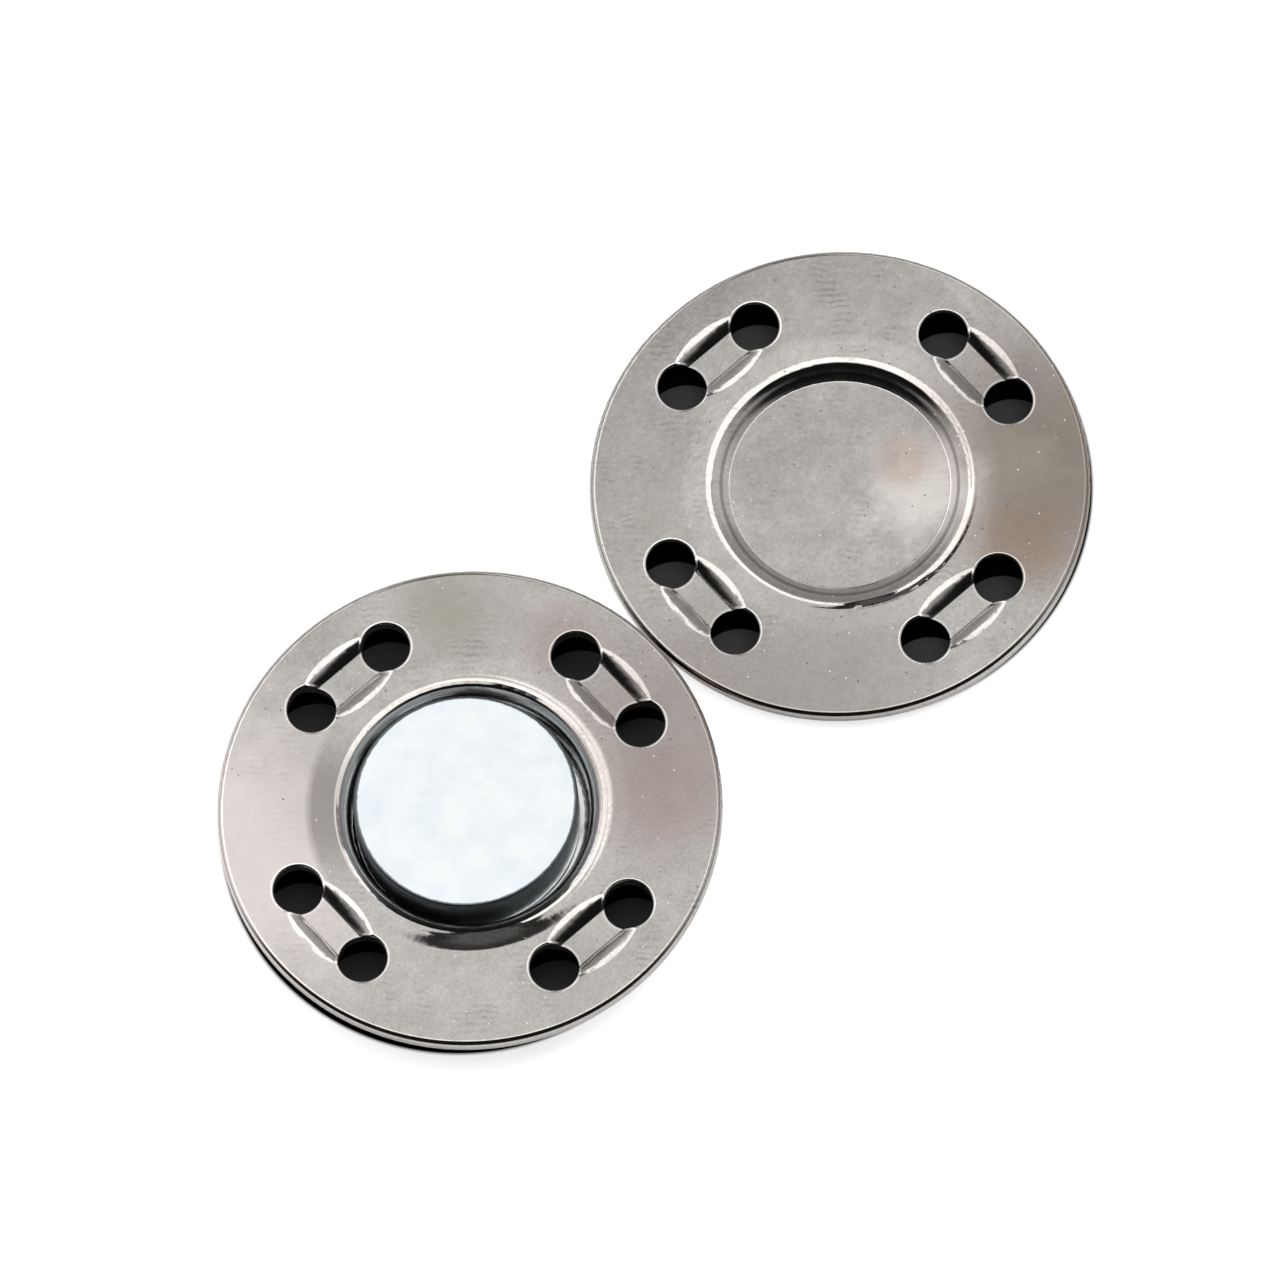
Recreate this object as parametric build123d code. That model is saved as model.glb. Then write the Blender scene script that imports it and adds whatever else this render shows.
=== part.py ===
from build123d import *
import math
import os

# Sew-on magnetic snap fastener: both halves, face up and side by side on a table.
# Millimetres, Z up. The magnet half lies on the -X side and the catch half on the +X side.
# The origin is on the table, midway between the two halves.
# The thread holes of each half lie in four pairs, across its own X and Y lines.

# Strip and blank, the same for both pressings
sheet = 0.5                   # steel strip thickness
rim_width = 2.43              # line through a pair of holes out to the edge of the blank
rim_rollover = 0.22           # edge rolled over by the blanking die, on the face
rim_break = 0.06              # tumbled burr, on the back

# How the two halves lie
lay_gap = 0.19                # clear gap between the two rims
lay_turn = 2.0                # degrees from X to the line of the two centres

# Magnet
magnet_radius = 4.0
magnet_height = 2.0
magnet_edge = 0.12            # rounded edge of a plated disc magnet
magnet_proud = 0.75           # how far its face stands above the flange

# Cup of the magnet half
cup_clearance = 0.17          # all round the magnet, at the foot of the wall
magnet_drift = 0.12           # the magnet sits this far off centre, away from the catch half
cup_wall_angle = 80.0         # degrees from the flange
cup_bend = 0.05               # inside bend radius, lead-in to wall
cup_foot = 0.15               # inside radius at the foot of the wall
cup_lead_in = 0.94            # foot of the wall out to the corner of the lead-in
cup_lead_in_angle = 9.0       # degrees: the flange is drawn down a little round the cup
cup_lead_in_bend = 3.9        # inside bend radius, flange to lead-in

# Dish of the catch half
dish_clearance = 0.12         # between the flat of the magnet's face and the foot of the wall
dish_wall_angle = 23.5        # degrees from the flange
dish_bend = 0.1               # inside bend radius, lead-in to wall
dish_foot = 0.1               # inside radius at the foot of the wall
dish_lead_in = 0.2            # width of the lead-in
dish_lead_in_angle = 8.0      # degrees
dish_lead_in_bend = 1.0       # inside bend radius, flange to lead-in

# Thread holes, in pairs
pair_count = 4
pair_spacing = 3.49           # hole to hole in a pair
hole_radius = 0.88
hole_rollover = 0.1           # rolled-over edge of a punched hole, on the face

# Thread seats, pressed into the bridge between the two holes of a pair
seat_depth = 0.28
seat_floor = 1.0              # width of the flat floor
seat_spread = 0.67            # floor's edge out to the mouth, halfway between the holes
seat_end_spread = 0.33        # the same at the seat's ends, within the holes
seat_end = 0.245              # a seat's end to the axis of its hole
seat_lip = 3.5                # degrees from the flange, where a seat's rounded wall starts
seat_clear = 0.2              # how far the tool goes on past a seat's mouth
seat_foot = 0.5               # rounded foot of a seat's wall, on the back
seat_lap = 0.056              # a seat's mouth reaches this far over the start of the cup's lead-in
seat_stand = 0.04             # the catch half's seats stay this far above its back

# Places worked out from the sizes above
cup_depth = magnet_height - magnet_proud
cup_radius = magnet_radius + cup_clearance
cup_mouth = cup_radius + cup_lead_in
dish_depth = seat_depth + seat_stand
dish_radius = magnet_radius - magnet_edge + dish_clearance
flange_of_cup = sheet + cup_depth
flange_of_dish = sheet + dish_depth
cup_slope = math.radians(cup_lead_in_angle)
cup_lead_in_run = (cup_lead_in_bend + sheet) * math.tan(cup_slope / 2)

seat_half_length = pair_spacing / 2 - seat_end
seat_slope = math.atan2(seat_depth, seat_spread)
seat_growth = sheet * math.tan(seat_slope / 2)
seat_reach = seat_floor / 2 + seat_spread - seat_lap

pair_reach = cup_mouth + cup_lead_in_run + seat_reach    # half's centre to the line of a pair
outer_radius = pair_reach + rim_width
centre_distance = 2 * outer_radius + lay_gap
catch_place = Vector(centre_distance / 2, 0).rotate(Axis.Z, lay_turn)
magnet_place = catch_place * -1


def direction(start, end):
    """Unit vector from one point of a section to the next."""
    return (Vector(*end) - Vector(*start)).normalized()


def lower_point(before, corner, after, thickness):
    """The corner of the sheet's underside that lies below a corner of its face.

    A line of the face moves down its own normal by the thickness, so a corner moves by
    thickness * (n1 + n2) / (1 + n1 . n2), where n1 and n2 are the normals of its two lines.
    """
    first = direction(before, corner).rotate(Axis.Z, 90)
    second = direction(corner, after).rotate(Axis.Z, 90)
    moved = Vector(*corner) + (first + second) * (thickness / (1 + first.dot(second)))
    return (moved.X, moved.Y)


def bends_down(before, corner, after):
    """True where the face turns downwards on its way in, so that the inside is the back."""
    return direction(before, corner).cross(direction(corner, after)).Z > 0


def rounded_outline(points, radii):
    """A closed outline of straight lines, with an arc of its own radius at each corner.

    An arc starts and ends radius * tan(turn / 2) from its corner, and 0 leaves it sharp.
    """
    starts = []
    ends = []
    edges = []
    for before, corner, after, radius in zip(
        [points[-1], *points[:-1]], points, [*points[1:], points[0]], radii
    ):
        arriving = direction(before, corner)
        leaving = direction(corner, after)
        run = radius * math.tan(math.radians(arriving.get_angle(leaving)) / 2)
        starts.append(Vector(*corner) - arriving * run)
        ends.append(Vector(*corner) + leaving * run)
        if radius > 0:
            edges.append(TangentArc(starts[-1], ends[-1], tangent=arriving))
    edges += [Line(end, start) for end, start in zip(ends, [*starts[1:], starts[0]])]
    return Curve(children=edges)


def pressing(face_points, inside_radii):
    """Turn a section of constant thickness, given as (radius, height) corners of its face.

    The corners run from the rim to the axis. Each bend has one inside radius, and the
    sheet's thickness is added to it on the outside of the bend.
    """
    corners = list(zip(face_points, face_points[1:], face_points[2:]))
    under_points = [lower_point(*corner, sheet) for corner in corners]
    face_radii = []
    under_radii = []
    for corner, inside in zip(corners, inside_radii):
        down = bends_down(*corner)
        face_radii.append(inside + sheet if down else inside)
        under_radii.append(inside if down else inside + sheet)
    rim, axis = face_points[0], face_points[-1]
    outline = [rim, *face_points[1:-1], axis, (axis[0], axis[1] - sheet)]
    outline += [*reversed(under_points), (rim[0], rim[1] - sheet)]
    radii = [rim_rollover, *face_radii, 0, 0, *reversed(under_radii), rim_break]
    section = make_face(Plane.XZ * rounded_outline(outline, radii))
    between_pairs = 180 / pair_count    # keeps the seam of the turned faces out of the seats
    return Rot(Z=between_pairs) * revolve(section, Axis.Z)


def cup_blank():
    """The magnet half before its holes: flange, shallow lead-in, wall and floor."""
    wall = math.radians(cup_wall_angle)
    # The lead-in slopes from (cup_mouth, flange_of_cup) to the wall, which stands on cup_radius
    run = cup_lead_in - cup_depth / math.tan(wall)
    bend_height = flange_of_cup - run / (1 / math.tan(cup_slope) - 1 / math.tan(wall))
    bend_radius = cup_radius + (bend_height - sheet) / math.tan(wall)
    face_points = [
        (outer_radius, flange_of_cup),
        (cup_mouth, flange_of_cup),
        (bend_radius, bend_height),
        (cup_radius, sheet),
        (0, sheet),
    ]
    return pressing(face_points, [cup_lead_in_bend, cup_bend, cup_foot])


def dish_blank():
    """The catch half before its holes: flange, shallow lead-in, sloping wall and floor."""
    wall_height = dish_depth - dish_lead_in * math.tan(math.radians(dish_lead_in_angle))
    wall_top = dish_radius + wall_height / math.tan(math.radians(dish_wall_angle))
    face_points = [
        (outer_radius, flange_of_dish),
        (wall_top + dish_lead_in, flange_of_dish),
        (wall_top, sheet + wall_height),
        (dish_radius, sheet),
        (0, sheet),
    ]
    return pressing(face_points, [dish_lead_in_bend, dish_bend, dish_foot])


def seat_section(spread, along):
    """A seat's section across its length: a flat floor between two rounded walls.

    Each wall is one arc. It leaves the flange, at Z = 0, at the lip's angle, and steepens
    on its way down to the edge of the floor. The tool goes on past the mouth at that angle.
    """
    lip = Vector(seat_clear, 0).rotate(Axis.Z, seat_lip)
    mouth = Vector(seat_floor / 2 + spread, 0)
    foot = Vector(seat_floor / 2, -seat_depth)
    side = [Line(mouth + lip, mouth), TangentArc(mouth, foot, tangent=lip * -1)]
    other_side = [edge.mirror(Plane.YZ) for edge in side]
    top = Line(side[0] @ 0, other_side[0] @ 0)
    floor = Line(side[1] @ 1, other_side[1] @ 1)
    section = make_face(Plane.XZ * Curve(children=[*side, *other_side, top, floor]))
    return Pos(0, along, 0) * section


def seat_hollow():
    """What the tool takes from the face, with the flange at Z = 0 and its length along Y."""
    places = [(seat_end_spread, -seat_half_length), (seat_spread, 0), (seat_end_spread, seat_half_length)]
    return loft([seat_section(*place) for place in places])


def seat_boss():
    """What a seat adds to the back, with the flange's back at Z = 0 and its length along Y.

    Each wall is ruled from the floor's straight edge up to an arc below the seat's mouth.
    """
    half_width = seat_floor / 2 + seat_growth
    end = seat_floor / 2 + seat_end_spread
    bulge = seat_floor / 2 + seat_spread
    near_arc = ThreePointArc((end, -seat_half_length), (bulge, 0), (end, seat_half_length))
    far_arc = ThreePointArc((-end, seat_half_length), (-bulge, 0), (-end, -seat_half_length))
    ends = [Line(near_arc @ 1, far_arc @ 0), Line(far_arc @ 1, near_arc @ 0)]
    mouth = make_face([near_arc, ends[0], far_arc, ends[1]])
    floor = Pos(0, 0, -seat_depth) * Rectangle(2 * half_width, 2 * seat_half_length)
    boss = loft([floor.face(), mouth], ruled=True)
    return fillet(boss.edges().filter_by(Axis.Y).group_by(Axis.Z)[0], seat_foot)


def at_pairs(shape, height):
    """Copies of a shape at the middle of each pair of holes, with Y along the pair."""
    step = 360 / pair_count
    return [Rot(Z=turn * step) * Pos(pair_reach, 0, height) * shape for turn in range(pair_count)]


def at_holes(shape, height):
    """Copies of a shape on each hole's axis."""
    spots = [Pos(0, side * pair_spacing / 2, 0) * shape for side in (-1, 1)]
    return [copy for spot in spots for copy in at_pairs(spot, height)]


def punch():
    """The straight tool of one hole, long enough to pass the flange and the pressed seat."""
    length = 2 * (sheet + seat_depth)
    return Cylinder(hole_radius, 2 * length)


def punch_flare():
    """What the rolled-over edge of one hole takes away below Z = 0: a quarter round."""
    start = (hole_radius, -hole_rollover)
    end = (hole_radius + hole_rollover, 0)
    leg = hole_rollover * math.sin(math.pi / 4)
    middle = (end[0] - leg, start[1] + leg)
    outline = [
        Line((0, 0), (0, -hole_rollover)),
        Line((0, -hole_rollover), start),
        ThreePointArc(start, middle, end),
        Line(end, (0, 0)),
    ]
    return revolve(make_face(Plane.XZ * Curve(children=outline)), Axis.Z)


def with_thread_seats(blank, height):
    """Press the seats, punch the holes and round what the tools round."""
    for boss in at_pairs(seat_boss(), height - sheet):
        blank += boss
    for hollow in at_pairs(seat_hollow(), height):
        blank -= hollow
    for hole in at_holes(punch(), height):
        blank -= hole
    for flare in at_holes(punch_flare(), height):
        blank -= flare
    return blank


def magnet_disc():
    """The plated disc magnet, standing on the cup's floor."""
    disc = Cylinder(magnet_radius, magnet_height, align=(Align.CENTER, Align.CENTER, Align.MIN))
    return fillet(disc.edges().filter_by(GeomType.CIRCLE), magnet_edge)


def main():
    """Build both halves and write one file for each piece."""
    parts = {
        "magnet_holder": Pos(*magnet_place) * with_thread_seats(cup_blank(), flange_of_cup),
        "magnet_disc": Pos(*magnet_place) * Pos(-magnet_drift, 0, sheet) * magnet_disc(),
        "catch_plate": Pos(*catch_place) * with_thread_seats(dish_blank(), flange_of_dish),
    }
    os.makedirs("parts", exist_ok=True)
    for name, shape in parts.items():
        shape.label = name
        export_step(shape, f"parts/{name}.step")


main()
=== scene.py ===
import math

import bpy
from mathutils import Matrix, Vector


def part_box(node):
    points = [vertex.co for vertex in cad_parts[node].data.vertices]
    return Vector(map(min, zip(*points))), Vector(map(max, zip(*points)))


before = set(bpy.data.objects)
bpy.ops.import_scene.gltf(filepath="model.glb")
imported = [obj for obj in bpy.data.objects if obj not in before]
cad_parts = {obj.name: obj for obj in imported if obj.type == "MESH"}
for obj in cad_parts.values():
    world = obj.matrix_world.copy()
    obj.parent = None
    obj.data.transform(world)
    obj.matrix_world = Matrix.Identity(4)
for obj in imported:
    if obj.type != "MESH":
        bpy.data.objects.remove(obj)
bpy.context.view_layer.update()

mm = 0.001


# sRGB hex to linear: c / 12.92 below 0.04045, and ((c + 0.055) / 1.055) ^ 2.4 above it
def linearColour(hexText):
    parts = [int(hexText[i:i + 2], 16) / 255 for i in (1, 3, 5)]
    return tuple(c / 12.92 if c < 0.04045 else ((c + 0.055) / 1.055) ** 2.4 for c in parts) + (1.0,)


# one node, with its settings, and a value or a link for each named input
def addNode(tree, kind, inputs=None, **settings):
    node = tree.nodes.new("ShaderNode" + kind)
    for name, value in settings.items():
        setattr(node, name, value)
    for socket, value in (inputs or {}).items():
        if isinstance(value, bpy.types.NodeSocket):
            tree.links.new(value, node.inputs[socket])
        else:
            node.inputs[socket].default_value = value
    return node


# centre of a CAD node's box, in metres
def middleOf(nodeName):
    low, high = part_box(nodeName)
    return (low + high) / 2


# the thread holes of each half: two pairs on each of its axes, in mm from its middle
threadHoles = {"reach": 6.57, "spacing": 3.49, "radius": 0.88}


# flat vector from the middle of the half that a point lies on, less a shift, and that half's side: -1 or 1
def spokeFrom(tree, inMm, shift=(0, 0, 0)):
    catch = middleOf("catch_plate") / mm    # the magnet half lies opposite
    x = addNode(tree, "SeparateXYZ", {"Vector": inMm}).outputs["X"]
    side = addNode(tree, "Math", {0: x}, operation="SIGN").outputs[0]
    centre = addNode(tree, "VectorMath", {0: (catch.x, catch.y, 0), 3: side}, operation="SCALE").outputs[0]
    flat = addNode(tree, "VectorMath", {0: inMm, 1: (1, 1, 0)}, operation="MULTIPLY").outputs[0]
    spoke = addNode(tree, "VectorMath", {0: flat, 1: centre}, operation="SUBTRACT").outputs[0]
    return addNode(tree, "VectorMath", {0: spoke, 1: shift}, operation="SUBTRACT").outputs[0], side


# distance to the nearest hole's axis: all eight fold onto two
def holeDistance(tree, spoke, holes):
    folded = addNode(tree, "VectorMath", {0: spoke}, operation="ABSOLUTE").outputs[0]
    away = []
    for axis in ((holes["reach"], holes["spacing"] / 2, 0), (holes["spacing"] / 2, holes["reach"], 0)):
        away.append(addNode(tree, "VectorMath", {0: folded, 1: axis}, operation="DISTANCE").outputs["Value"])
    return addNode(tree, "Math", {0: away[0], 1: away[1]}, operation="MINIMUM").outputs[0]


# the photograph's view of the two halves
view = {
    "azimuth": -34.88, "elevation": 69.32, "roll": 6.99,    # degrees
    "distance": 450 * mm, "pixelsPerMm": 27.95, "imageWidth": 1280,
    "target": (-0.236 * mm, 0.598 * mm, 0.82 * mm),    # what the middle of the image shows
    "sensor": 36.0, "clip": (0.01, 10),    # mm, m
}


# unit vectors to the right, up and back, for a camera with no roll
def viewAxes(azimuth, elevation):
    a, e = math.radians(azimuth), math.radians(elevation)
    right = Vector((math.cos(a), math.sin(a), 0))
    back = Vector((math.sin(a) * math.cos(e), -math.cos(a) * math.cos(e), math.sin(e)))
    return right, back.cross(right), back


def makeCamera(settings):
    right, up, back = viewAxes(settings["azimuth"], settings["elevation"])
    c, s = math.cos(math.radians(settings["roll"])), math.sin(math.radians(settings["roll"]))
    axes = (right * c - up * s, right * s + up * c, back)
    place = Vector(settings["target"]) + back * settings["distance"]
    data = bpy.data.cameras.new("camera")
    data.sensor_width = settings["sensor"]
    focalPixels = settings["pixelsPerMm"] * settings["distance"] / mm
    data.lens = focalPixels * settings["sensor"] / settings["imageWidth"]
    data.clip_start, data.clip_end = settings["clip"]
    camera = bpy.data.objects.new("camera", data)
    bpy.context.scene.collection.objects.link(camera)
    camera.matrix_world = Matrix.Translation(place) @ Matrix(axes).transposed().to_4x4()
    bpy.context.scene.camera = camera


makeCamera(view)
print("camera: at the photograph's angle")

# studio: a grey tent, a bright ceiling panel round a dimmer hatch, and dark where the camera stands
studio = {
    "skyHeights": (0.0, 0.30, 0.62, 0.84, 1.0),    # sine of the elevation
    "skyLevels": (0.36, 0.36, 0.42, 0.46, 0.46),
    # side (180 behind the halves, 0 the camera's), turn to the left of it, elevation, half width and half
    # height, all in degrees; softness of the edge; level. Each covers those before it
    "patches": (
        (180, 58, 38, 26, 18, 0.40, 0.76),      # window to the left
        (180, -72, 40, 18, 14, 0.40, 0.68),     # window to the right
        (180, 0, 71, 28, 31, 0.10, 1.70),       # ceiling panel
        (180, -8, 65.5, 12.5, 18, 0.14, 0.85),  # dimmer hatch in it, which the flat faces mirror
        (180, 2.0, 51, 4.6, 17.2, 0.05, 0.03),  # dark gap, which the cup's lead-in mirrors
        (180, 2.0, 53, 2.8, 12.5, 0.20, 0.13),  # the gap's lighter middle
        (0, -10, 44, 68, 37, 0.12, 0.01),       # dark card at the camera
    ),
    # the key lamp only throws the shadow
    "key": {"side": 180, "turn": -60, "elevation": 47, "distance": 300 * mm, "size": 150 * mm, "power": 0.22},
}


# axes of a lamp or patch that faces the halves
def placeWay(side, turn, elevation):
    return viewAxes(view["azimuth"] + side + turn, elevation)


def makeWorld(settings):
    world = bpy.data.worlds.new("studio")
    bpy.context.scene.world = world
    world.use_nodes = True
    tree = world.node_tree
    tree.nodes.clear()
    way = addNode(tree, "TexCoord").outputs["Generated"]
    height = addNode(tree, "SeparateXYZ", {"Vector": way}).outputs["Z"]
    ramp = addNode(tree, "ValToRGB", {"Fac": height})
    stops = ramp.color_ramp.elements
    while len(stops) < len(settings["skyHeights"]):
        stops.new(0.5)
    for stop, place, level in zip(stops, settings["skyHeights"], settings["skyLevels"]):
        stop.position = place
        stop.color = (level, level, level, 1)
    total = ramp.outputs["Color"]
    for side, turn, elevation, halfWidth, halfHeight, softness, level in settings["patches"]:
        right, up, ahead = placeWay(side, turn, elevation)
        shares = []    # how far out a direction lies, as a share of the half width and half height
        for axis, angle in ((right, halfWidth), (up, halfHeight)):
            part = addNode(tree, "VectorMath", {0: way, 1: axis}, operation="DOT_PRODUCT").outputs["Value"]
            shares.append(addNode(tree, "Math", {0: part, 1: math.sin(math.radians(angle))},
                                  operation="DIVIDE").outputs[0])
        share = addNode(tree, "CombineXYZ", {"X": shares[0], "Y": shares[1]}).outputs[0]
        out = addNode(tree, "VectorMath", {0: share}, operation="LENGTH").outputs["Value"]
        inside = addNode(tree, "MapRange", {"Value": out, "From Min": 1 + softness, "From Max": 1 - softness},
                         interpolation_type="SMOOTHSTEP").outputs["Result"]
        facing = addNode(tree, "VectorMath", {0: way, 1: ahead}, operation="DOT_PRODUCT").outputs["Value"]
        facing = addNode(tree, "Math", {0: facing, 1: 0.0}, operation="GREATER_THAN").outputs[0]
        amount = addNode(tree, "Math", {0: inside, 1: facing}, operation="MULTIPLY").outputs[0]
        total = addNode(tree, "Mix", {0: amount, 6: total, 7: (level, level, level, 1)},
                        data_type="RGBA").outputs[2]
    light = addNode(tree, "Background", {"Color": total})
    white = addNode(tree, "Background", {"Color": (1, 1, 1, 1)})
    path = addNode(tree, "LightPath")
    both = addNode(tree, "MixShader", {
        0: path.outputs["Is Camera Ray"], 1: light.outputs[0], 2: white.outputs[0]})
    addNode(tree, "OutputWorld", {"Surface": both.outputs[0]})


def makeKey(settings):
    data = bpy.data.lights.new("key", "AREA")
    data.shape = "DISK"
    data.size = settings["size"]
    data.energy = settings["power"]
    lamp = bpy.data.objects.new("key", data)
    lamp.visible_glossy = False
    bpy.context.scene.collection.objects.link(lamp)
    axes = placeWay(settings["side"], settings["turn"], settings["elevation"])
    place = axes[2] * settings["distance"]
    lamp.matrix_world = Matrix.Translation(place) @ Matrix(axes).transposed().to_4x4()


makeWorld(studio)
makeKey(studio["key"])
print("studio: tent, windows, panel, hatch, gap, card and key lamp")

# floor: plain white paper, painted shadow under each half, and painted light in a paler spot under each hole,
# as the photograph shows through the thread holes
floor = {
    "halfWidth": 400 * mm, "drop": 0.002 * mm, "colour": "#F4F4F4",
    "lift": 0.75, "glossLift": 0.35,    # glow that keeps the paper white to the eye and in the metal
    # the painted shadow under each half: its radius, and its shift to the right
    "paintedShadowAndLight": {"magnet_holder": (8.75 * mm, -0.32 * mm), "catch_plate": (8.85 * mm, 0.30 * mm)},
    "paintedShadowEdge": 0.12 * mm, "shade": "#050505",
    # painted light that falls through each hole: a paler spot, kept to what the photograph's view shows
    # through the hole; in mm, and in pairs for the magnet half and the catch half
    "spot": "#404040", "spotRadius": 1.60, "spotEdge": 0.03, "spotBack": (0.76, 1.23),
    "sightRadius": 1.15, "sightHeight": (1.50, 0.57),
}


def makeFloor(settings):
    w, z = settings["halfWidth"], -settings["drop"]
    mesh = bpy.data.meshes.new("floor")
    mesh.from_pydata([(-w, -w, z), (w, -w, z), (w, w, z), (-w, w, z)], [], [(0, 1, 2, 3)])
    surface = bpy.data.materials.new("matt_paper")
    surface.use_nodes = True
    tree = surface.node_tree
    tree.nodes.clear()
    place = addNode(tree, "TexCoord").outputs["Object"]
    inMm = addNode(tree, "VectorMath", {0: place, 3: 1 / mm}, operation="SCALE").outputs[0]
    right = viewAxes(view["azimuth"], view["elevation"])[0]
    clear = []    # 1 on bare paper, for each half
    for nodeName, (radius, shift) in settings["paintedShadowAndLight"].items():
        centre = middleOf(nodeName) + right * shift
        away = addNode(tree, "VectorMath", {0: place, 1: (centre.x, centre.y, z)},
                       operation="DISTANCE").outputs["Value"]
        clear.append(addNode(tree, "MapRange", {
            "Value": away, "From Min": radius - settings["paintedShadowEdge"], "From Max": radius}).outputs["Result"])
    paper = addNode(tree, "Math", {0: clear[0], 1: clear[1]}, operation="MINIMUM").outputs[0]

    towards = viewAxes(view["azimuth"], 0)[2]    # the way light from behind carries a spot
    sightSlope = math.tan(math.radians(view["elevation"]))
    # painted shadow under each half, with painted light in a paler spot under each hole
    paintedShadowAndLight = linearColour(settings["spot"])
    for sign, back, height in zip((-1, 1), settings["spotBack"], settings["sightHeight"]):
        outOfSpot = []    # 1 outside the lit circle, and outside the circle that shows through the hole
        for shift, radius in ((towards * back, settings["spotRadius"]),
                              (towards * (-height / sightSlope), settings["sightRadius"])):
            spoke, side = spokeFrom(tree, inMm, tuple(shift))
            outOfSpot.append(addNode(tree, "MapRange", {
                "Value": holeDistance(tree, spoke, threadHoles),
                "From Min": radius - settings["spotEdge"], "From Max": radius}).outputs["Result"])
        unlit = addNode(tree, "Math", {0: outOfSpot[0], 1: outOfSpot[1]}, operation="MAXIMUM").outputs[0]
        here = addNode(tree, "Math", {0: side, 1: sign, 2: 0.5}, operation="COMPARE").outputs[0]
        unlit = addNode(tree, "Math", {0: unlit, 1: here}, operation="MULTIPLY").outputs[0]
        paintedShadowAndLight = addNode(tree, "Mix", {0: unlit, 6: paintedShadowAndLight, 7: linearColour(settings["shade"])},
                        data_type="RGBA").outputs[2]
    colour = addNode(tree, "Mix", {0: paper, 6: paintedShadowAndLight, 7: linearColour(settings["colour"])}, data_type="RGBA")
    matt = addNode(tree, "BsdfDiffuse", {"Color": colour.outputs[2]})
    path = addNode(tree, "LightPath")
    seen = addNode(tree, "Math", {
        0: path.outputs["Is Glossy Ray"], 1: settings["glossLift"], 2: path.outputs["Is Camera Ray"],
    }, operation="MULTIPLY_ADD").outputs[0]
    lift = addNode(tree, "Math", {0: seen, 1: settings["lift"]}, operation="MULTIPLY").outputs[0]
    lift = addNode(tree, "Math", {0: lift, 1: paper}, operation="MULTIPLY").outputs[0]
    glow = addNode(tree, "Emission", {"Color": (1, 1, 1, 1), "Strength": lift})
    both = addNode(tree, "AddShader", {0: matt.outputs[0], 1: glow.outputs[0]})
    addNode(tree, "OutputMaterial", {"Surface": both.outputs[0]})
    mesh.materials.append(surface)
    sheet = bpy.data.objects.new("floor", mesh)
    bpy.context.scene.collection.objects.link(sheet)


makeFloor(floor)
print("floor: pale, dark under the halves")

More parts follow.
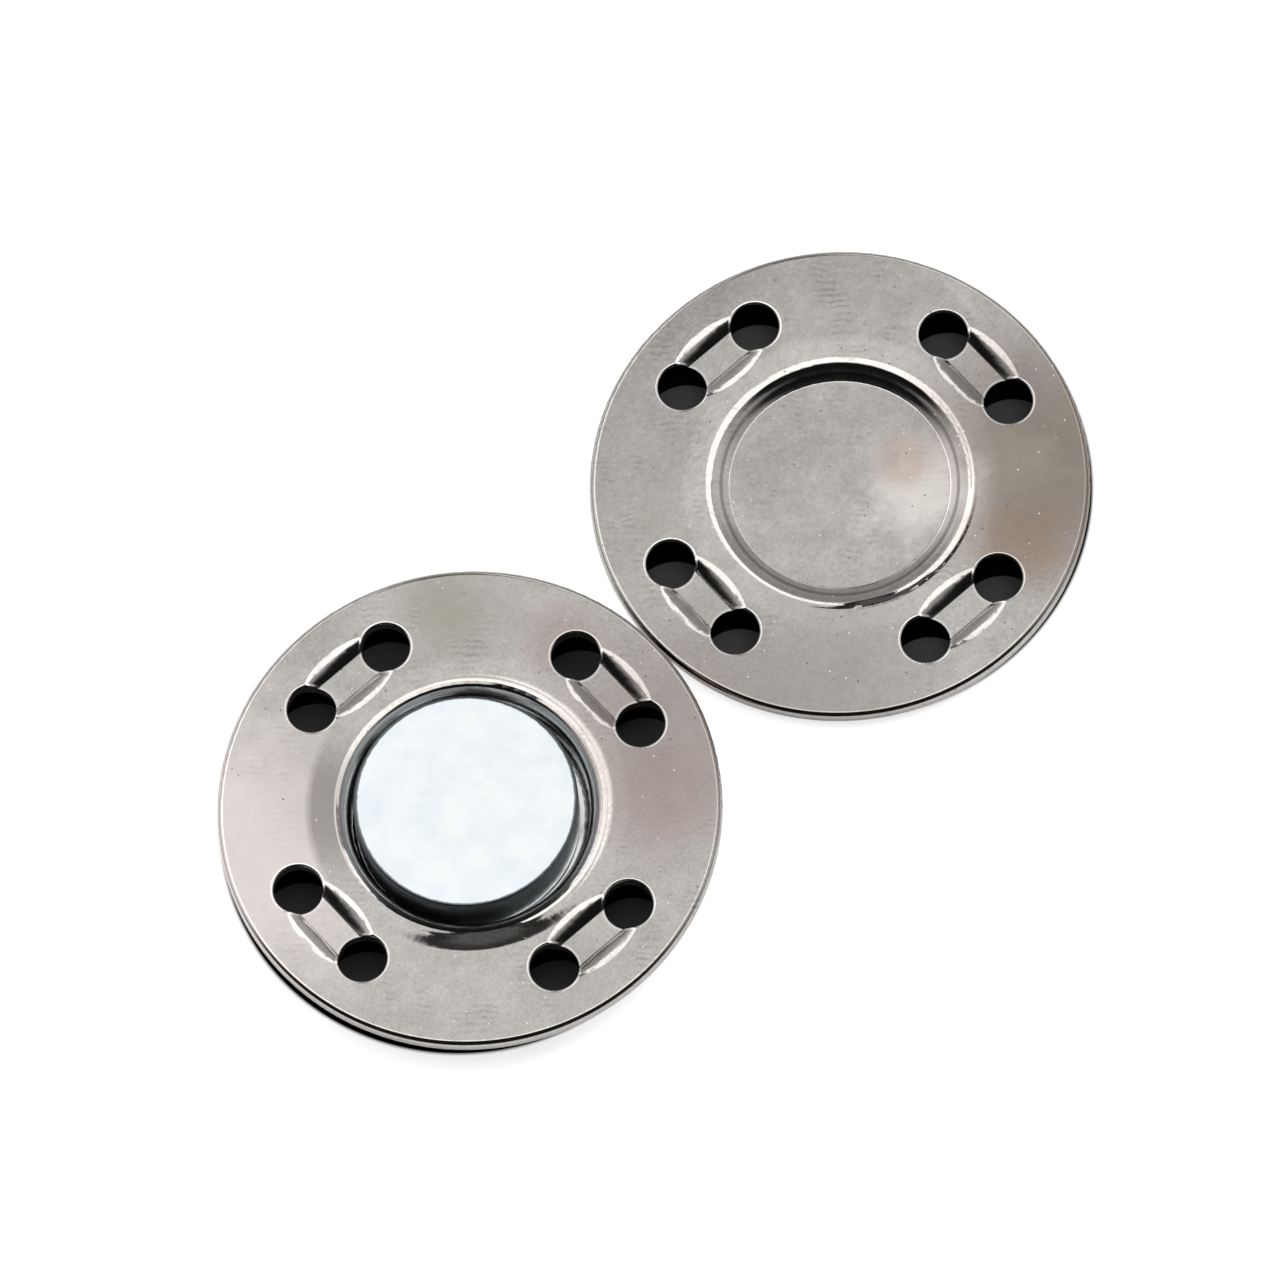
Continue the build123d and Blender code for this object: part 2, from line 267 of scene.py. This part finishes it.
# pressings: steel strip, nickel plated after pressing, then tumbled; lengths in mm
pressings = {
    "clean": "#DEDAD6", "worn": "#8F8A84",
    "roughness": {"range": (0.3, 0.7), "low": 0.08, "high": 0.17},    # follows the clouds
    "rolling": -42.4,    # degrees from X: the way the strip's rolling marks run
    "ripples": {"pitch": 0.25, "wander": 6.0, "detail": 2.0, "detailScale": 0.9, "range": (0.35, 0.95),
                "shade": 0.28, "depth": 0.0012},
    "patches": {"size": 1.176, "stretch": (1.0, 0.65, 1.0), "detail": 3.0, "roughness": 0.65,
                "range": (0.52, 0.70)},    # where the ripples show
    "tones": {    # noises that dull the plate, from slow clouds to fine grain
        "cloud": {"size": 1.1111, "detail": 5.0, "roughness": 0.6, "range": (0.35, 0.70), "shade": 0.16},
        "mottle": {"size": 0.3846, "detail": 4.0, "roughness": 0.7, "range": (0.40, 0.70), "shade": 0.16},
        # coarser than the tumbler leaves it, so that it shows
        "grain": {"size": 0.11, "detail": 2.0, "roughness": 0.7, "range": (0.30, 0.75), "shade": 0.34},
    },
    # dark pits, and bright nicks whose white is partly painted glint: the value of a cell that picks it, the
    # least it takes, and the colour
    "spots": {"pitch": 0.30, "radius": 0.04, "core": 0.5,
              "kinds": (("X", 0.86, "#5C5650"), ("Y", 0.78, "#FFFFFF"))},
    # the drawn wall's streaks, partly painted reflection, and the painted shade ring on the dish's wall
    "cupWall": {"radius": 4.52, "edge": 0.06, "bright": "#F4F2EE", "dark": "#77736F",
                "size": 0.625, "stretch": (0.30, 0.30, 3.0), "detail": 3.0, "range": (0.46, 0.64)},
    "dishShadeRing": {"radius": 4.27, "width": 0.08, "colour": "#57524D", "strength": 0.50},
    "leadIn": {"reach": (4.5, 5.5), "softness": (0.05, 0.3), "roughness": 0.035},    # burnished by the punch
    "holeLipHighlight": {"width": 0.09, "edge": 0.01, "inset": 0.012, "strength": 0.40, "colour": "#FFFFFF",
                "roughness": 0.30, "level": 0.8},    # rolled over, with a white painted highlight; level: how far it faces up
    # rings that the punch leaves, the sheet's slow unevenness, and the plating's orange peel
    "forming": {"pitch": 0.30, "depth": 0.0028, "reach": (4.0, 4.9), "softness": (0.05, 0.1)},
    "wave": {"size": 5.0, "detail": 1.0, "depth": 0.026},
    "peel": {"size": 0.30, "detail": 3.0, "depth": 0.0007},
    "rollover": 0.22,    # the rolled-over rim's radius
    "ragged": 2.2,    # how far the clouds push the edges of stains and of painted sheen
    "stainAndSheenEdge": (0.55, 0.10),    # where each stain and patch of painted sheen starts and is full, as shares of its width
    "sheenStart": {"softness": 0.15, "least": 0.12},    # least: what is left of it nearer the middle
    "stainsAndSheen": (    # half, degrees round it from X, from its middle, across, colour, strength, starts beyond
        ("magnet_holder", 137, 5.0, 6.5, "#8F8A86", 0.75, 0),
        ("magnet_holder", 150, 8.4, 15.0, "#FFF6F2", 0.80, 5.75),    # painted sheen on the light side, which stops at the lead-in
        # the next three: lighter patches of painted sheen
        ("magnet_holder", 62, 8.8, 9.0, "#FBF7F3", 0.30, 0),
        ("catch_plate", 62, 8.4, 12.0, "#FBF7F3", 0.08, 0),
        ("catch_plate", 130, 6.8, 8.0, "#FBF7F3", 0.10, 0),
        ("magnet_holder", -20, 8.0, 11.0, "#AEA29C", 0.65, 0),
        ("catch_plate", -35, 8.0, 13.0, "#93877D", 0.85, 0),    # the brown side
        ("catch_plate", -135, 8.6, 11.0, "#A8A39D", 0.60, 0),
        ("catch_plate", -46, 3.0, 5.2, "#FFF8F2", 0.85, 0),    # painted highlight in the dish
        ("catch_plate", -62, 7.0, 4.6, "#A08671", 0.55, 0),
        ("catch_plate", -35, 6.6, 3.6, "#B3AB98", 0.40, 0),
        ("catch_plate", -21, 2.5, 2.8, "#BFA498", 0.50, 0),
        ("catch_plate", 150, 6.9, 3.0, "#BDB5A6", 0.30, 0),
        ("magnet_holder", 55, 7.4, 4.6, "#ABA793", 0.55, 0),    # greenish
        ("magnet_holder", 20, 7.0, 3.4, "#B99F97", 0.45, 0),
        ("magnet_holder", -40, 6.8, 5.6, "#B49D97", 0.50, 0),
        ("magnet_holder", -100, 7.0, 3.6, "#B5B1A6", 0.35, 0),
    ),
}


# satin warm grey to the eye: rolling ripples, tumbling pits, faint brown and green stains, and light patches
# of painted sheen
def nickelPlatedSteel(settings):
    surface = bpy.data.materials.new("nickel_plated_steel_tumbled")
    surface.use_nodes = True
    tree = surface.node_tree
    tree.nodes.clear()
    place = addNode(tree, "TexCoord").outputs["Object"]
    inMm = addNode(tree, "VectorMath", {0: place, 3: 1 / mm}, operation="SCALE").outputs[0]
    height = addNode(tree, "SeparateXYZ", {"Vector": inMm}).outputs["Z"]
    flat = addNode(tree, "VectorMath", {0: inMm, 1: (1, 1, 0)}, operation="MULTIPLY").outputs[0]
    spoke, side = spokeFrom(tree, inMm)
    fromMiddle = addNode(tree, "VectorMath", {0: spoke}, operation="LENGTH").outputs["Value"]

    # ripples from the rolls: a distorted wave across the grain, in patches
    look = settings["ripples"]
    waveFactor = 20    # the node's own
    along = addNode(tree, "VectorRotate", {"Vector": inMm, "Angle": math.radians(-settings["rolling"])},
                    rotation_type="Z_AXIS").outputs[0]
    ripple = addNode(tree, "TexWave", {
        "Vector": along, "Scale": 2 * math.pi / (waveFactor * look["pitch"]), "Distortion": look["wander"],
        "Detail": look["detail"], "Detail Scale": look["detailScale"]}, bands_direction="Y").outputs["Color"]
    ridge = addNode(tree, "MapRange", {
        "Value": ripple, "From Min": look["range"][0], "From Max": look["range"][1]}).outputs["Result"]
    look = settings["patches"]
    stretched = addNode(tree, "VectorMath", {0: along, 1: look["stretch"]}, operation="MULTIPLY").outputs[0]
    patch = addNode(tree, "TexNoise", {
        "Vector": stretched, "Scale": 1 / look["size"], "Detail": look["detail"],
        "Roughness": look["roughness"]}).outputs[0]
    patch = addNode(tree, "MapRange", {
        "Value": patch, "From Min": look["range"][0], "From Max": look["range"][1]}).outputs["Result"]
    marks = addNode(tree, "Math", {0: patch, 1: ridge}, operation="MULTIPLY").outputs[0]
    marks = addNode(tree, "Math", {0: marks, 1: settings["ripples"]["shade"]},
                    operation="MULTIPLY").outputs[0]

    # tones: clouds, mottle and grain add to the marks
    noises = {}
    dulled = marks
    for name, look in settings["tones"].items():
        noises[name] = addNode(tree, "TexNoise", {
            "Vector": inMm, "Scale": 1 / look["size"], "Detail": look["detail"],
            "Roughness": look["roughness"]}).outputs[0]
        tone = addNode(tree, "MapRange", {
            "Value": noises[name], "From Min": look["range"][0], "From Max": look["range"][1],
            "To Max": look["shade"]}).outputs["Result"]
        dulled = addNode(tree, "Math", {0: dulled, 1: tone}, operation="ADD").outputs[0]
    colour = addNode(tree, "Mix", {0: dulled, 6: linearColour(settings["clean"]),
                                   7: linearColour(settings["worn"])}, data_type="RGBA").outputs[2]

    # stains and painted sheen: soft spots, with edges that follow the clouds; the lighter ones are painted
    # sheen
    for half, turn, far, across, tint, strength, start in settings["stainsAndSheen"]:
        centre = middleOf(half) / mm
        angle = math.radians(turn)
        spot = (centre.x + far * math.cos(angle), centre.y + far * math.sin(angle), 0)
        away = addNode(tree, "VectorMath", {0: flat, 1: spot}, operation="DISTANCE").outputs["Value"]
        away = addNode(tree, "Math", {0: noises["cloud"], 1: settings["ragged"], 2: away},
                       operation="MULTIPLY_ADD").outputs[0]
        outer, inner = [across * share + settings["ragged"] / 2 for share in settings["stainAndSheenEdge"]]
        amount = addNode(tree, "MapRange", {
            "Value": away, "From Min": outer, "From Max": inner, "To Max": strength,
        }, interpolation_type="SMOOTHSTEP").outputs["Result"]
        if start:
            look = settings["sheenStart"]
            beyond = addNode(tree, "MapRange", {
                "Value": fromMiddle, "From Min": start - look["softness"],
                "From Max": start + look["softness"], "To Min": look["least"]}).outputs["Result"]
            amount = addNode(tree, "Math", {0: amount, 1: beyond}, operation="MULTIPLY").outputs[0]
        colour = addNode(tree, "Mix", {0: amount, 6: colour, 7: linearColour(tint)},
                         data_type="RGBA").outputs[2]

    # the cup's wall: drawn bright, in streaks that run round it; the bright wall and its streaks are partly
    # drawing marks and partly painted reflection
    look = settings["cupWall"]
    cup = middleOf("magnet_holder") / mm
    fromCup = addNode(tree, "VectorMath", {0: inMm, 1: (cup.x, cup.y, 0)}, operation="SUBTRACT").outputs[0]
    flatFromCup = addNode(tree, "VectorMath", {0: fromCup, 1: (1, 1, 0)}, operation="MULTIPLY").outputs[0]
    away = addNode(tree, "VectorMath", {0: flatFromCup}, operation="LENGTH").outputs["Value"]
    onWall = addNode(tree, "MapRange", {
        "Value": away, "From Min": look["radius"] + look["edge"],
        "From Max": look["radius"]}).outputs["Result"]
    rounds = addNode(tree, "VectorMath", {0: fromCup, 1: look["stretch"]}, operation="MULTIPLY").outputs[0]
    streak = addNode(tree, "TexNoise", {"Vector": rounds, "Scale": 1 / look["size"],
                                        "Detail": look["detail"]}).outputs[0]
    streak = addNode(tree, "MapRange", {
        "Value": streak, "From Min": look["range"][0], "From Max": look["range"][1]}).outputs["Result"]
    streaksAndReflection = addNode(tree, "Mix", {0: streak, 6: linearColour(look["bright"]), 7: linearColour(look["dark"])},
                    data_type="RGBA").outputs[2]
    colour = addNode(tree, "Mix", {0: onWall, 6: colour, 7: streaksAndReflection}, data_type="RGBA").outputs[2]

    # the dish's wall, on the catch half only: a dark ring of painted shade
    look = settings["dishShadeRing"]
    off = addNode(tree, "Math", {0: fromMiddle, 1: look["radius"]}, operation="SUBTRACT").outputs[0]
    off = addNode(tree, "Math", {0: off}, operation="ABSOLUTE").outputs[0]
    onRing = addNode(tree, "MapRange", {
        "Value": off, "From Min": look["width"], "From Max": look["width"] / 2,
        "To Max": look["strength"]}).outputs["Result"]
    onRing = addNode(tree, "Math", {0: onRing, 1: side}, operation="MULTIPLY", use_clamp=True).outputs[0]
    colour = addNode(tree, "Mix", {0: onRing, 6: colour, 7: linearColour(look["colour"])},
                     data_type="RGBA").outputs[2]

    # the rolled edge of each thread hole, with a painted highlight: white all round the lip
    look = settings["holeLipHighlight"]
    fromHole = holeDistance(tree, spoke, threadHoles)
    lip = threadHoles["radius"] + look["width"]
    onLip = addNode(tree, "MapRange", {
        "Value": fromHole, "From Min": lip + look["edge"], "From Max": lip - look["edge"]}).outputs["Result"]
    offWall = addNode(tree, "Math", {0: fromHole, 1: threadHoles["radius"] + look["inset"]},
                      operation="GREATER_THAN").outputs[0]
    onLip = addNode(tree, "Math", {0: onLip, 1: offWall}, operation="MULTIPLY").outputs[0]
    onLip = addNode(tree, "Math", {0: onLip, 1: look["strength"]}, operation="MULTIPLY").outputs[0]
    lipUp = addNode(tree, "Math", {0: onLip, 1: look["level"]}, operation="MULTIPLY").outputs[0]
    colour = addNode(tree, "Mix", {0: onLip, 6: colour, 7: linearColour(look["colour"])},
                     data_type="RGBA").outputs[2]

    # sparse pits and nicks, the white nicks partly painted glints: a spot in the middle of some cells
    look = settings["spots"]
    cells = addNode(tree, "TexVoronoi", {"Vector": inMm, "Scale": 1 / look["pitch"]})
    spotSize = look["radius"] / look["pitch"]
    inSpot = addNode(tree, "MapRange", {"Value": cells.outputs["Distance"], "From Min": spotSize,
                                        "From Max": spotSize * look["core"]}).outputs["Result"]
    chance = addNode(tree, "SeparateXYZ", {"Vector": cells.outputs["Color"]})
    for channel, least, tint in look["kinds"]:
        picked = addNode(tree, "Math", {0: chance.outputs[channel], 1: least},
                         operation="GREATER_THAN").outputs[0]
        amount = addNode(tree, "Math", {0: picked, 1: inSpot}, operation="MULTIPLY").outputs[0]
        colour = addNode(tree, "Mix", {0: amount, 6: colour, 7: linearColour(tint)},
                         data_type="RGBA").outputs[2]

    # roughness: the clouds, then the burnished lead-in, then the lips
    look = settings["roughness"]
    rough = addNode(tree, "MapRange", {
        "Value": noises["cloud"], "From Min": look["range"][0], "From Max": look["range"][1],
        "To Min": look["low"], "To Max": look["high"]}).outputs["Result"]
    look = settings["leadIn"]
    (inner, outer), (innerEdge, outerEdge) = look["reach"], look["softness"]
    withinOuter = addNode(tree, "MapRange", {
        "Value": fromMiddle, "From Min": outer + outerEdge, "From Max": outer}).outputs["Result"]
    beyondInner = addNode(tree, "MapRange", {
        "Value": fromMiddle, "From Min": inner - innerEdge, "From Max": inner + innerEdge}).outputs["Result"]
    onLeadIn = addNode(tree, "Math", {0: withinOuter, 1: beyondInner}, operation="MULTIPLY").outputs[0]
    rough = addNode(tree, "Mix", {0: onLeadIn, 2: rough, 3: look["roughness"]}).outputs[0]
    rough = addNode(tree, "Mix", {0: onLip, 2: rough, 3: settings["holeLipHighlight"]["roughness"]}).outputs[0]

    # rolled rim: its true normal, from the middle of the rollover's quarter round
    edge = (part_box("catch_plate")[1].x - middleOf("catch_plate").x) / mm
    holderTop, catchTop = [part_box(half)[1].z / mm for half in ("magnet_holder", "catch_plate")]
    top = addNode(tree, "Math", {0: side, 1: (catchTop - holderTop) / 2, 2: (holderTop + catchTop) / 2},
                  operation="MULTIPLY_ADD").outputs[0]
    rise = addNode(tree, "Math", {0: height, 1: top}, operation="SUBTRACT").outputs[0]
    rise = addNode(tree, "Math", {0: rise, 1: settings["rollover"]}, operation="ADD").outputs[0]
    out = addNode(tree, "Math", {0: fromMiddle, 1: edge - settings["rollover"]},
                  operation="SUBTRACT").outputs[0]
    outward = addNode(tree, "VectorMath", {0: spoke}, operation="NORMALIZE").outputs[0]
    outward = addNode(tree, "VectorMath", {0: outward, 3: out}, operation="SCALE").outputs[0]
    upward = addNode(tree, "CombineXYZ", {"Z": rise}).outputs[0]
    rolled = addNode(tree, "VectorMath", {0: outward, 1: upward}, operation="ADD").outputs[0]
    rolled = addNode(tree, "VectorMath", {0: rolled}, operation="NORMALIZE").outputs[0]
    onRim = addNode(tree, "Math", {0: out, 1: 0.0}, operation="GREATER_THAN").outputs[0]
    above = addNode(tree, "Math", {0: rise, 1: 0.0}, operation="GREATER_THAN").outputs[0]
    onRim = addNode(tree, "Math", {0: onRim, 1: above}, operation="MULTIPLY").outputs[0]
    normal = addNode(tree, "NewGeometry").outputs["Normal"]
    normal = addNode(tree, "Mix", {0: onRim, 4: normal, 5: rolled}, data_type="VECTOR").outputs[1]
    normal = addNode(tree, "Mix", {0: lipUp, 4: normal, 5: (0, 0, 1)}, data_type="VECTOR").outputs[1]

    # relief: the slow wave, the punch's rings, orange peel, and the ripples pressed in
    look = settings["forming"]
    turns = addNode(tree, "Math", {0: fromMiddle, 1: 2 * math.pi / look["pitch"]},
                    operation="MULTIPLY").outputs[0]
    rings = addNode(tree, "Math", {0: turns}, operation="SINE").outputs[0]
    (inner, outer), (innerEdge, outerEdge) = look["reach"], look["softness"]
    for start, end in ((inner - innerEdge, inner + innerEdge), (outer + outerEdge, outer - outerEdge)):
        part = addNode(tree, "MapRange", {"Value": fromMiddle, "From Min": start,
                                          "From Max": end}).outputs["Result"]
        rings = addNode(tree, "Math", {0: rings, 1: part}, operation="MULTIPLY").outputs[0]
    wave, peel = [addNode(tree, "TexNoise", {
        "Vector": inMm, "Scale": 1 / settings[name]["size"], "Detail": settings[name]["detail"],
    }).outputs[0] for name in ("wave", "peel")]
    for relief, name, pressedIn in ((wave, "wave", False), (rings, "forming", False), (peel, "peel", False),
                                    (marks, "ripples", True)):
        normal = addNode(tree, "Bump", {"Height": relief, "Distance": settings[name]["depth"] * mm,
                                        "Normal": normal}, invert=pressedIn).outputs[0]
    shader = addNode(tree, "BsdfPrincipled", {
        "Base Color": colour, "Metallic": 1.0, "Roughness": rough, "Normal": normal})
    addNode(tree, "OutputMaterial", {"Surface": shader.outputs[0]})
    return surface


# magnet: zinc plated, with a ground face; lengths in mm
magnet = {
    "colour": "#F9FEFF", "roughness": 0.34,
    "cloud": {"colour": "#EBF4F9", "size": 1.25, "detail": 6.0, "roughness": 0.65, "range": (0.42, 0.72)},
    "faceRadius": 3.86, "faceEdge": 0.02, "ragged": 0.06, "chips": {"size": 0.2, "detail": 2.0},
    "side": "#C6CDD3", "sideRoughness": 0.30,
    "arrisShade": "#71777C", "arrisDepth": 0.16, "arrisEdge": 0.04,    # painted shade: a dark band at the top of the side, round the face
}


# pale bluish face with faint clouds to the eye, and a greyer tumbled side with painted shade along its top
def zincPlatedMagnet(settings):
    surface = bpy.data.materials.new("zinc_plated_magnet")
    surface.use_nodes = True
    tree = surface.node_tree
    tree.nodes.clear()
    place = addNode(tree, "TexCoord").outputs["Object"]
    inMm = addNode(tree, "VectorMath", {0: place, 3: 1 / mm}, operation="SCALE").outputs[0]
    look = settings["cloud"]
    cloud = addNode(tree, "TexNoise", {"Vector": inMm, "Scale": 1 / look["size"], "Detail": look["detail"],
                                       "Roughness": look["roughness"]}).outputs[0]
    amount = addNode(tree, "MapRange", {
        "Value": cloud, "From Min": look["range"][0], "From Max": look["range"][1]}).outputs["Result"]
    colour = addNode(tree, "Mix", {0: amount, 6: linearColour(settings["colour"]),
                                   7: linearColour(look["colour"])}, data_type="RGBA").outputs[2]

    # the side starts at a slightly ragged line round the face
    centre = middleOf("magnet_disc") / mm
    flat = addNode(tree, "VectorMath", {0: inMm, 1: (1, 1, 0)}, operation="MULTIPLY").outputs[0]
    away = addNode(tree, "VectorMath", {0: flat, 1: (centre.x, centre.y, 0)},
                   operation="DISTANCE").outputs["Value"]
    look = settings["chips"]
    chips = addNode(tree, "TexNoise", {"Vector": inMm, "Scale": 1 / look["size"],
                                       "Detail": look["detail"]}).outputs[0]
    away = addNode(tree, "Math", {0: chips, 1: settings["ragged"], 2: away},
                   operation="MULTIPLY_ADD").outputs[0]
    rim = settings["faceRadius"] + settings["ragged"] / 2
    onSide = addNode(tree, "MapRange", {"Value": away, "From Min": rim - settings["faceEdge"],
                                        "From Max": rim + settings["faceEdge"]}).outputs["Result"]
    # painted shade: the top band of the side is dark
    height = addNode(tree, "SeparateXYZ", {"Vector": inMm}).outputs["Z"]
    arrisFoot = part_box("magnet_disc")[1].z / mm - settings["arrisDepth"]
    onArris = addNode(tree, "MapRange", {"Value": height, "From Min": arrisFoot - settings["arrisEdge"],
                                         "From Max": arrisFoot}).outputs["Result"]
    sideColour = addNode(tree, "Mix", {0: onArris, 6: linearColour(settings["side"]),
                                       7: linearColour(settings["arrisShade"])}, data_type="RGBA").outputs[2]
    colour = addNode(tree, "Mix", {0: onSide, 6: colour, 7: sideColour}, data_type="RGBA").outputs[2]
    rough = addNode(tree, "Mix", {0: onSide, 2: settings["roughness"],
                                  3: settings["sideRoughness"]}).outputs[0]
    shader = addNode(tree, "BsdfPrincipled", {"Base Color": colour, "Metallic": 1.0, "Roughness": rough})
    addNode(tree, "OutputMaterial", {"Surface": shader.outputs[0]})
    return surface


nickel = nickelPlatedSteel(pressings)
zinc = zincPlatedMagnet(magnet)
for nodeName, surface in (("magnet_holder", nickel), ("catch_plate", nickel), ("magnet_disc", zinc)):
    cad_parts[nodeName].material_slots[0].material = surface
print("metals: nickel plate and zinc plate")

bpy.context.scene.view_settings.view_transform = "Standard"
